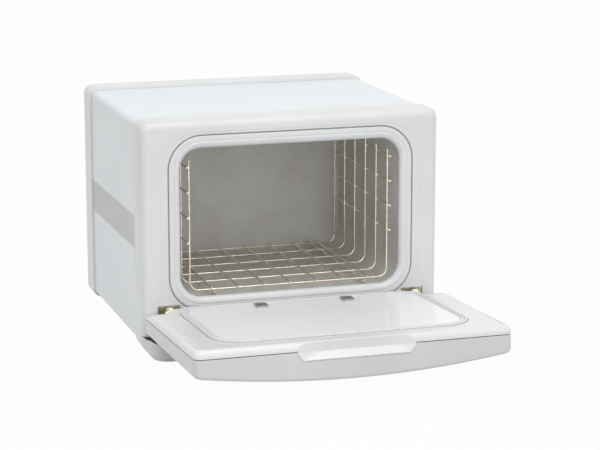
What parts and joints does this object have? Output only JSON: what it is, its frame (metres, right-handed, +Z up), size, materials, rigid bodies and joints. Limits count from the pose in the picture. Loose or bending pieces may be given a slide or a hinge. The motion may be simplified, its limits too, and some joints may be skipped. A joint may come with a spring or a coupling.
{
  "type": "hot towel warmer",
  "caption": "Bench-top hot towel warmer: heated chamber with a drop-down door, a sliding wire rack and a drip tray under the door.",
  "frame": {"origin": "centre of the overall box, on the surface the feet stand on, with the door open", "axes": "+X to the right seen from the front, +Y to the back, +Z up; the open door points to -Y"},
  "size_m": [0.45, 0.6909, 0.3464],
  "materials": {
    "casing_paint": "smooth satin powder coat",
    "band_plastic": "fine matt moulded",
    "frame_plastic": "semi-gloss moulded",
    "door_white": "semi-gloss moulded",
    "door_plate_gloss": "polished",
    "gasket_silicone": "soft satin",
    "chamber_metal": "brushed",
    "rack_wire": "nickel plated",
    "hinge_zinc": "yellow zinc plated",
    "steel": "zinc plated",
    "bush_nylon": "moulded nylon",
    "insulation": "mineral wool",
    "heater_foil": "foil laminate",
    "electrical_ivory": "moulded",
    "electrical_black": "moulded",
    "rocker_red": "glossy moulded",
    "lamp_lens": "clear tinted",
    "foot_rubber": "matt"
  },
  "bodies": {
    "cabinet": {"upper_shell": "casing_paint", "lower_shell": "casing_paint", "side_band_left": "band_plastic", "side_band_right": "band_plastic", "front_frame": "frame_plastic", "rear_cover": "frame_plastic", "rear_cover_screws": "steel", "opening_ring": "frame_plastic", "chamber_wrap": "chamber_metal", "chamber_floor": "chamber_metal", "chamber_back": "chamber_metal", "heater_sheet": "heater_foil", "insulation_sleeve": "insulation", "insulation_back": "insulation", "chamber_cradles": "steel", "rear_bulkhead": "steel", "thermostat": "electrical_black", "thermal_fuse": "electrical_ivory", "terminal_block": "electrical_ivory", "wiring_loom": "electrical_ivory", "power_inlet": "electrical_black", "switch_housing": "electrical_black", "pilot_lamp": "lamp_lens", "rubber_feet": "foot_rubber", "foot_screws": "steel", "tray_guides": "band_plastic", "hinge_bracket_left": "hinge_zinc", "hinge_bracket_right": "hinge_zinc", "bracket_screws": "steel", "hinge_pins": "steel", "hinge_springs": "steel", "catch_plates": "steel", "rack_runners": "rack_wire"},
    "door": {"door_inner_panel": "door_white", "door_outer_shell": "frame_plastic", "door_foam": "insulation", "door_plate": "door_plate_gloss", "door_gasket": "gasket_silicone", "door_magnets": "electrical_black", "hinge_leaf_left": "hinge_zinc", "hinge_leaf_right": "hinge_zinc", "leaf_screws": "steel", "hinge_bushes": "bush_nylon"},
    "tray": {"drip_tray": "frame_plastic"},
    "rack": {"rack_hoops": "rack_wire", "rack_rails": "rack_wire", "rack_floor_wires": "rack_wire"},
    "rocker": {"switch_rocker": "rocker_red"}
  },
  "joints": [
    {"name": "door_hinge", "type": "hinge", "parent": "cabinet", "child": "door", "pos_m": [0, -0.05978, 0.0684], "axis": [-1, 0, 0], "range_deg": [0, 87.2]},
    {"name": "tray_slide", "type": "slide", "parent": "cabinet", "child": "tray", "axis": [0, 1, 0], "range_m": [-0.05, 0]},
    {"name": "rack_slide", "type": "slide", "parent": "cabinet", "child": "rack", "axis": [0, 1, 0], "range_m": [-0.01, 0.034]},
    {"name": "switch_rock", "type": "hinge", "parent": "cabinet", "child": "rocker", "pos_m": [0.22, 0.05102, 0.09], "axis": [0, -1, 0], "range_deg": [0, 16]}
  ]
}
